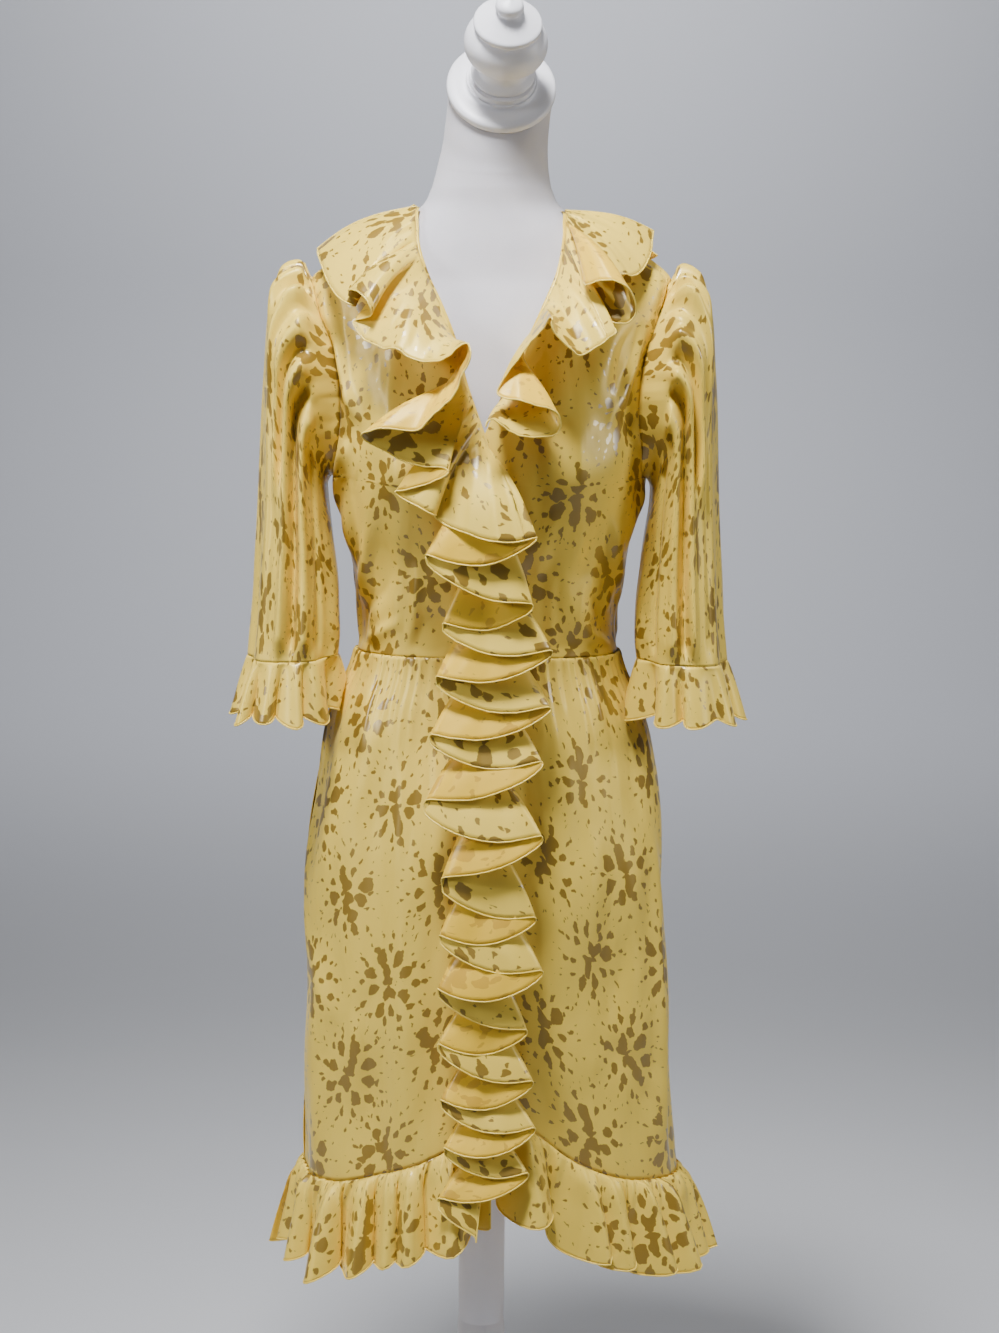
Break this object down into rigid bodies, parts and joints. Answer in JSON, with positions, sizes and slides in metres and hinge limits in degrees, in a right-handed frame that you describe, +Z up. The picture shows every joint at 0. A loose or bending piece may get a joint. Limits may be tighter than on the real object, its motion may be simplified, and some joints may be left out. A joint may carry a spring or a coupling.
{
  "type": "silk wrap dress on a dress form with stand",
  "caption": "Knee-length silk wrap dress with a ruffled neck, cascade, cuffs and flounced hem, worn on a limbless dress form with a turned stand.",
  "frame": {"origin": "centre of the base's underside, on the floor", "axes": "+Z up along the pole, -Y the front of the dress, +X the wearer's left"},
  "size_m": [0.5154, 0.38, 1.6496],
  "materials": {
    "silk": "pale gold silk jacquard, satin",
    "jersey": "white jersey, matte",
    "painted_wood": "painted white, satin"
  },
  "bodies": {
    "root": {"form_torso": "jersey", "form_neck_cap": "painted_wood", "form_finial": "painted_wood", "form_pole_upper": "painted_wood", "form_pole_lower": "painted_wood", "form_base": "painted_wood", "bodice_right_front": "silk", "bodice_left_front": "silk", "bodice_back": "silk", "sleeve_right": "silk", "sleeve_left": "silk", "cuff_ruffle_right": "silk", "cuff_ruffle_left": "silk", "skirt_right_front": "silk", "skirt_left_front": "silk", "skirt_back": "silk", "hem_flounce_right": "silk", "hem_flounce_left": "silk", "hem_flounce_back": "silk", "front_ruffle": "silk", "neck_flounce_left": "silk", "neck_flounce_back": "silk"}
  },
  "joints": []
}
